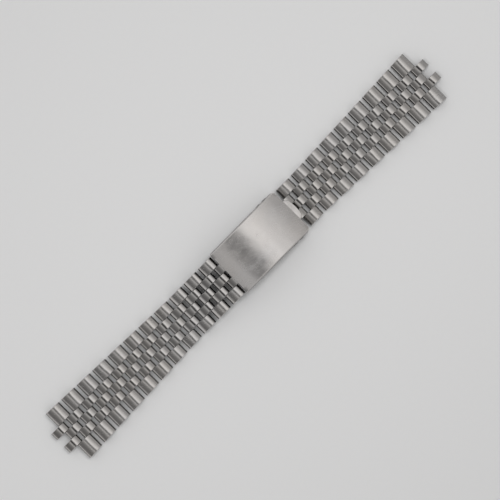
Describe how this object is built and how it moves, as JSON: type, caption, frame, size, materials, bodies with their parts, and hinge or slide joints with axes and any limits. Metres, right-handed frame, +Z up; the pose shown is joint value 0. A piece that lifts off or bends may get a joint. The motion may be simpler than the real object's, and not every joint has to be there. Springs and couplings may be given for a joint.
{
  "type": "watch bracelet",
  "caption": "Five-row folded-link steel bracelet with a folding clasp, for a wristwatch.",
  "frame": {"origin": "middle of the bracelet's bounding box, on the table that the links lie on", "axes": "+X along the bracelet towards the half on the spring bar, +Y across, +Z up, away from the wrist"},
  "size_m": [0.1684, 0.02, 0.008],
  "materials": {
    "edge_link_steel": "brushed along the bracelet at the edges, polished in the middle row",
    "bridge_link_steel": "polished steel",
    "cover_steel": "brushed along the bracelet, polished rim",
    "blade_steel": "satin",
    "pin_steel": "turned",
    "spring_steel": "drawn wire"
  },
  "bodies": {
    "cover": {"clasp_cover": "cover_steel", "cover_hinge_pin": "pin_steel", "spring_bar_tube": "pin_steel", "spring_bar_spring": "spring_steel"},
    "middle_blade": {"middle_blade": "blade_steel"},
    "inner_blade": {"inner_blade": "blade_steel", "inner_blade_link_pin": "pin_steel", "blade_hinge_pin": "pin_steel"},
    "spring_bar_tip_front": {"spring_bar_tip_front": "pin_steel"},
    "spring_bar_tip_back": {"spring_bar_tip_back": "pin_steel"},
    "left_main_01": {"left_main_01": "edge_link_steel"},
    "left_main_02": {"left_main_02": "edge_link_steel"},
    "left_main_03": {"left_main_03": "edge_link_steel"},
    "left_main_04": {"left_main_04": "edge_link_steel"},
    "left_main_05": {"left_main_05": "edge_link_steel"},
    "left_main_06": {"left_main_06": "edge_link_steel"},
    "left_main_07": {"left_main_07": "edge_link_steel"},
    "left_main_08": {"left_main_08": "edge_link_steel"},
    "left_main_09": {"left_main_09": "edge_link_steel"},
    "left_main_10": {"left_main_10": "edge_link_steel"},
    "left_main_11": {"left_main_11": "edge_link_steel"},
    "left_bridge_01": {"left_bridge_01": "bridge_link_steel"},
    "left_bridge_02": {"left_bridge_02": "bridge_link_steel"},
    "left_bridge_03": {"left_bridge_03": "bridge_link_steel"},
    "left_bridge_04": {"left_bridge_04": "bridge_link_steel"},
    "left_bridge_05": {"left_bridge_05": "bridge_link_steel"},
    "left_bridge_06": {"left_bridge_06": "bridge_link_steel"},
    "left_bridge_07": {"left_bridge_07": "bridge_link_steel"},
    "left_bridge_08": {"left_bridge_08": "bridge_link_steel"},
    "left_bridge_09": {"left_bridge_09": "bridge_link_steel"},
    "left_bridge_10": {"left_bridge_10": "bridge_link_steel"},
    "left_bridge_11": {"left_bridge_11": "bridge_link_steel"},
    "left_bridge_12": {"left_bridge_12": "bridge_link_steel"},
    "right_main_01": {"right_main_01": "edge_link_steel"},
    "right_main_02": {"right_main_02": "edge_link_steel"},
    "right_main_03": {"right_main_03": "edge_link_steel"},
    "right_main_04": {"right_main_04": "edge_link_steel"},
    "right_main_05": {"right_main_05": "edge_link_steel"},
    "right_main_06": {"right_main_06": "edge_link_steel"},
    "right_main_07": {"right_main_07": "edge_link_steel"},
    "right_main_08": {"right_main_08": "edge_link_steel"},
    "right_main_09": {"right_main_09": "edge_link_steel"},
    "right_bridge_01": {"right_bridge_01": "bridge_link_steel"},
    "right_bridge_02": {"right_bridge_02": "bridge_link_steel"},
    "right_bridge_03": {"right_bridge_03": "bridge_link_steel"},
    "right_bridge_04": {"right_bridge_04": "bridge_link_steel"},
    "right_bridge_05": {"right_bridge_05": "bridge_link_steel"},
    "right_bridge_06": {"right_bridge_06": "bridge_link_steel"},
    "right_bridge_07": {"right_bridge_07": "bridge_link_steel"},
    "right_bridge_08": {"right_bridge_08": "bridge_link_steel"},
    "right_bridge_09": {"right_bridge_09": "bridge_link_steel"},
    "right_bridge_10": {"right_bridge_10": "bridge_link_steel"}
  },
  "joints": [
    {"name": "cover_hinge", "type": "hinge", "parent": "cover", "child": "middle_blade", "pos_m": [-0.00393, 0, 0.00477], "axis": [0, 1, 0], "range_deg": [0, 160]},
    {"name": "blade_hinge", "type": "hinge", "parent": "middle_blade", "child": "inner_blade", "pos_m": [0.01064, 0, 0.00174], "axis": [0, -1, 0], "range_deg": [0, 160]},
    {"name": "left_pin_01", "type": "hinge", "parent": "inner_blade", "child": "left_bridge_01", "pos_m": [-0.00604, 0, 0.00478], "axis": [0, -1, 0], "range_deg": [-5, 60]},
    {"name": "left_pin_02", "type": "hinge", "parent": "left_bridge_01", "child": "left_main_01", "pos_m": [-0.0094, 0, 0.00462], "axis": [0, 1, 0], "range_deg": [-60, 45]},
    {"name": "left_pin_03", "type": "hinge", "parent": "left_main_01", "child": "left_bridge_02", "pos_m": [-0.01273, 0, 0.00421], "axis": [0, -1, 0], "range_deg": [-45, 60]},
    {"name": "left_pin_04", "type": "hinge", "parent": "left_bridge_02", "child": "left_main_02", "pos_m": [-0.01604, 0, 0.00362], "axis": [0, 1, 0], "range_deg": [-60, 45]},
    {"name": "left_pin_05", "type": "hinge", "parent": "left_main_02", "child": "left_bridge_03", "pos_m": [-0.01933, 0, 0.00295], "axis": [0, -1, 0], "range_deg": [-45, 60]},
    {"name": "left_pin_06", "type": "hinge", "parent": "left_bridge_03", "child": "left_main_03", "pos_m": [-0.02263, 0, 0.00228], "axis": [0, 1, 0], "range_deg": [-60, 45]},
    {"name": "left_pin_07", "type": "hinge", "parent": "left_main_03", "child": "left_bridge_04", "pos_m": [-0.02594, 0, 0.0017], "axis": [0, -1, 0], "range_deg": [-45, 60]},
    {"name": "left_pin_08", "type": "hinge", "parent": "left_bridge_04", "child": "left_main_04", "pos_m": [-0.02927, 0, 0.00128], "axis": [0, 1, 0], "range_deg": [-60, 45]},
    {"name": "left_pin_09", "type": "hinge", "parent": "left_main_04", "child": "left_bridge_05", "pos_m": [-0.03263, 0, 0.00112], "axis": [0, -1, 0], "range_deg": [-45, 60]},
    {"name": "left_pin_10", "type": "hinge", "parent": "left_bridge_05", "child": "left_main_05", "pos_m": [-0.03599, 0, 0.00112], "axis": [0, 1, 0], "range_deg": [-60, 45]},
    {"name": "left_pin_11", "type": "hinge", "parent": "left_main_05", "child": "left_bridge_06", "pos_m": [-0.03935, 0, 0.00112], "axis": [0, -1, 0], "range_deg": [-45, 60]},
    {"name": "left_pin_12", "type": "hinge", "parent": "left_bridge_06", "child": "left_main_06", "pos_m": [-0.04271, 0, 0.00112], "axis": [0, 1, 0], "range_deg": [-60, 45]},
    {"name": "left_pin_13", "type": "hinge", "parent": "left_main_06", "child": "left_bridge_07", "pos_m": [-0.04607, 0, 0.00112], "axis": [0, -1, 0], "range_deg": [-45, 60]},
    {"name": "left_pin_14", "type": "hinge", "parent": "left_bridge_07", "child": "left_main_07", "pos_m": [-0.04943, 0, 0.00112], "axis": [0, 1, 0], "range_deg": [-60, 45]},
    {"name": "left_pin_15", "type": "hinge", "parent": "left_main_07", "child": "left_bridge_08", "pos_m": [-0.05279, 0, 0.00112], "axis": [0, -1, 0], "range_deg": [-45, 60]},
    {"name": "left_pin_16", "type": "hinge", "parent": "left_bridge_08", "child": "left_main_08", "pos_m": [-0.05615, 0, 0.00112], "axis": [0, 1, 0], "range_deg": [-60, 45]},
    {"name": "left_pin_17", "type": "hinge", "parent": "left_main_08", "child": "left_bridge_09", "pos_m": [-0.05951, 0, 0.00112], "axis": [0, -1, 0], "range_deg": [-45, 60]},
    {"name": "left_pin_18", "type": "hinge", "parent": "left_bridge_09", "child": "left_main_09", "pos_m": [-0.06287, 0, 0.00112], "axis": [0, 1, 0], "range_deg": [-60, 45]},
    {"name": "left_pin_19", "type": "hinge", "parent": "left_main_09", "child": "left_bridge_10", "pos_m": [-0.06623, 0, 0.00112], "axis": [0, -1, 0], "range_deg": [-45, 60]},
    {"name": "left_pin_20", "type": "hinge", "parent": "left_bridge_10", "child": "left_main_10", "pos_m": [-0.06959, 0, 0.00112], "axis": [0, 1, 0], "range_deg": [-60, 45]},
    {"name": "left_pin_21", "type": "hinge", "parent": "left_main_10", "child": "left_bridge_11", "pos_m": [-0.07295, 0, 0.00112], "axis": [0, -1, 0], "range_deg": [-45, 60]},
    {"name": "left_pin_22", "type": "hinge", "parent": "left_bridge_11", "child": "left_main_11", "pos_m": [-0.07631, 0, 0.00112], "axis": [0, 1, 0], "range_deg": [-60, 45]},
    {"name": "left_pin_23", "type": "hinge", "parent": "left_main_11", "child": "left_bridge_12", "pos_m": [-0.07967, 0, 0.00112], "axis": [0, -1, 0], "range_deg": [-45, 60]},
    {"name": "right_pin_01", "type": "hinge", "parent": "cover", "child": "right_bridge_01", "pos_m": [0.01919, 0, 0.0013], "axis": [0, 1, 0], "range_deg": [-15, 60]},
    {"name": "right_pin_02", "type": "hinge", "parent": "right_bridge_01", "child": "right_main_01", "pos_m": [0.02255, 0, 0.00121], "axis": [0, -1, 0], "range_deg": [-60, 45]},
    {"name": "right_pin_03", "type": "hinge", "parent": "right_main_01", "child": "right_bridge_02", "pos_m": [0.02591, 0, 0.00112], "axis": [0, 1, 0], "range_deg": [-45, 60]},
    {"name": "right_pin_04", "type": "hinge", "parent": "right_bridge_02", "child": "right_main_02", "pos_m": [0.02927, 0, 0.00112], "axis": [0, -1, 0], "range_deg": [-60, 45]},
    {"name": "right_pin_05", "type": "hinge", "parent": "right_main_02", "child": "right_bridge_03", "pos_m": [0.03263, 0, 0.00112], "axis": [0, 1, 0], "range_deg": [-45, 60]},
    {"name": "right_pin_06", "type": "hinge", "parent": "right_bridge_03", "child": "right_main_03", "pos_m": [0.03599, 0, 0.00112], "axis": [0, -1, 0], "range_deg": [-60, 45]},
    {"name": "right_pin_07", "type": "hinge", "parent": "right_main_03", "child": "right_bridge_04", "pos_m": [0.03935, 0, 0.00112], "axis": [0, 1, 0], "range_deg": [-45, 60]},
    {"name": "right_pin_08", "type": "hinge", "parent": "right_bridge_04", "child": "right_main_04", "pos_m": [0.04271, 0, 0.00112], "axis": [0, -1, 0], "range_deg": [-60, 45]},
    {"name": "right_pin_09", "type": "hinge", "parent": "right_main_04", "child": "right_bridge_05", "pos_m": [0.04607, 0, 0.00112], "axis": [0, 1, 0], "range_deg": [-45, 60]},
    {"name": "right_pin_10", "type": "hinge", "parent": "right_bridge_05", "child": "right_main_05", "pos_m": [0.04943, 0, 0.00112], "axis": [0, -1, 0], "range_deg": [-60, 45]},
    {"name": "right_pin_11", "type": "hinge", "parent": "right_main_05", "child": "right_bridge_06", "pos_m": [0.05279, 0, 0.00112], "axis": [0, 1, 0], "range_deg": [-45, 60]},
    {"name": "right_pin_12", "type": "hinge", "parent": "right_bridge_06", "child": "right_main_06", "pos_m": [0.05615, 0, 0.00112], "axis": [0, -1, 0], "range_deg": [-60, 45]},
    {"name": "right_pin_13", "type": "hinge", "parent": "right_main_06", "child": "right_bridge_07", "pos_m": [0.05951, 0, 0.00112], "axis": [0, 1, 0], "range_deg": [-45, 60]},
    {"name": "right_pin_14", "type": "hinge", "parent": "right_bridge_07", "child": "right_main_07", "pos_m": [0.06287, 0, 0.00112], "axis": [0, -1, 0], "range_deg": [-60, 45]},
    {"name": "right_pin_15", "type": "hinge", "parent": "right_main_07", "child": "right_bridge_08", "pos_m": [0.06623, 0, 0.00112], "axis": [0, 1, 0], "range_deg": [-45, 60]},
    {"name": "right_pin_16", "type": "hinge", "parent": "right_bridge_08", "child": "right_main_08", "pos_m": [0.06959, 0, 0.00112], "axis": [0, -1, 0], "range_deg": [-60, 45]},
    {"name": "right_pin_17", "type": "hinge", "parent": "right_main_08", "child": "right_bridge_09", "pos_m": [0.07295, 0, 0.00112], "axis": [0, 1, 0], "range_deg": [-45, 60]},
    {"name": "right_pin_18", "type": "hinge", "parent": "right_bridge_09", "child": "right_main_09", "pos_m": [0.07631, 0, 0.00112], "axis": [0, -1, 0], "range_deg": [-60, 45]},
    {"name": "right_pin_19", "type": "hinge", "parent": "right_main_09", "child": "right_bridge_10", "pos_m": [0.07967, 0, 0.00112], "axis": [0, 1, 0], "range_deg": [-45, 60]},
    {"name": "spring_bar_front_slide", "type": "slide", "parent": "cover", "child": "spring_bar_tip_front", "axis": [0, -1, 0], "range_m": [-0.0009, 0], "stiffness_N_per_m": 300, "springref_m": 0.001, "deforming": ["spring_bar_spring"]},
    {"name": "spring_bar_back_slide", "type": "slide", "parent": "cover", "child": "spring_bar_tip_back", "axis": [0, 1, 0], "range_m": [-0.0009, 0], "stiffness_N_per_m": 300, "springref_m": 0.001, "deforming": ["spring_bar_spring"]}
  ],
  "couplings": [
    {"joint": "blade_hinge", "follows": "cover_hinge", "ratio": 1}
  ]
}
